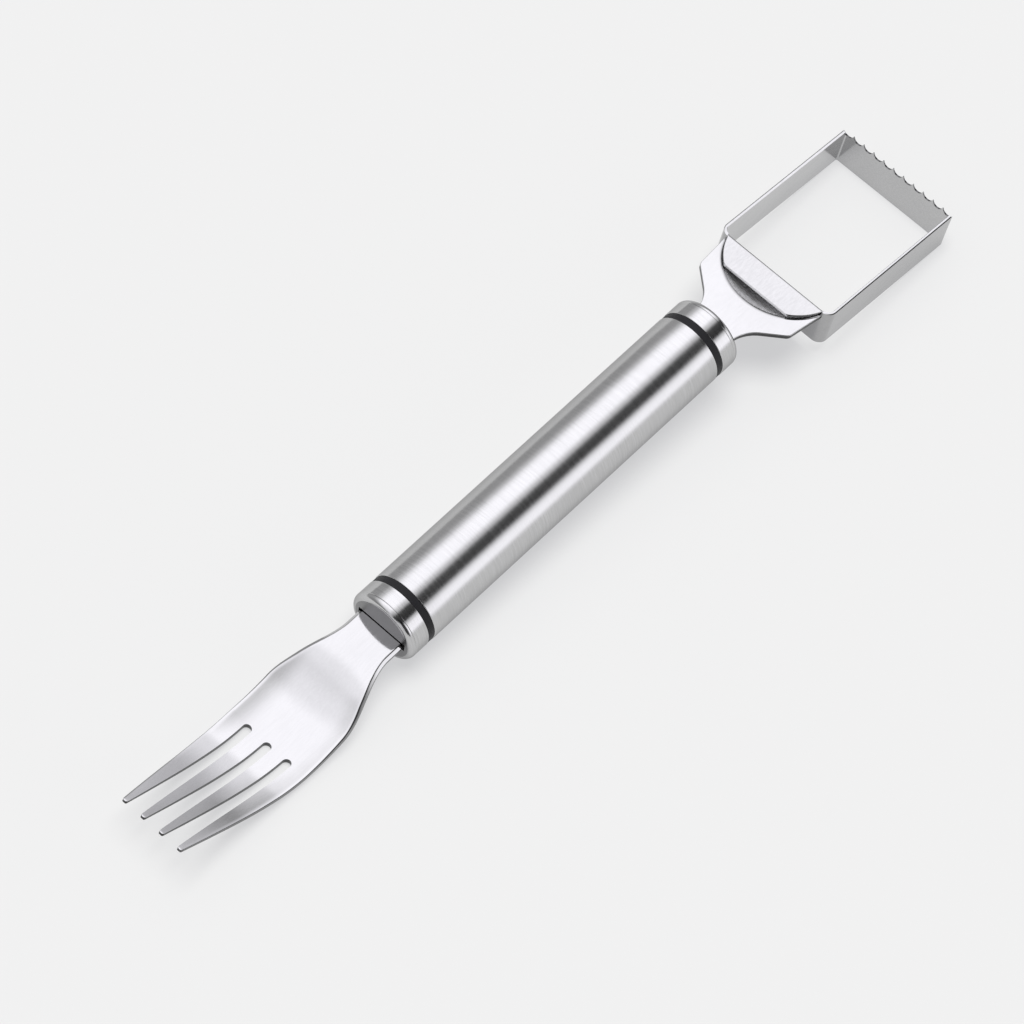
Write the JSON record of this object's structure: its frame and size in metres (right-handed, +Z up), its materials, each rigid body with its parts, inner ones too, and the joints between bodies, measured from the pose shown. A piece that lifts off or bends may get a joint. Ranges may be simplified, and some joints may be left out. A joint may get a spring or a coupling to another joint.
{
  "type": "melon cutter fork",
  "caption": "Double-ended stainless kitchen tool: a dished fork at one end of a round tube handle, an open square serrated blade loop at the other.",
  "frame": {"origin": "middle of the tool's footprint, on the surface that it lies on", "axes": "+X along the tool from the fork to the cutter, +Z up from the surface; the tool mirrors itself across the XZ plane"},
  "size_m": [0.2324, 0.0312, 0.0232],
  "materials": {
    "satin_steel": "satin, brushed along the handle",
    "cap_steel": "drawn and polished, turned face",
    "polished_steel": "mirror polished sheet",
    "blade_steel": "bright rolled strip",
    "black_rubber": "matte black",
    "core_plastic": "plain moulded plug"
  },
  "bodies": {
    "root": {"handle_tube": "satin_steel", "fork_ring": "black_rubber", "cutter_ring": "black_rubber", "fork_cap": "cap_steel", "cutter_cap": "cap_steel", "fork_core": "core_plastic", "cutter_core": "core_plastic", "fork": "polished_steel", "cutter_neck": "polished_steel", "cutter_blade": "blade_steel"}
  },
  "joints": []
}
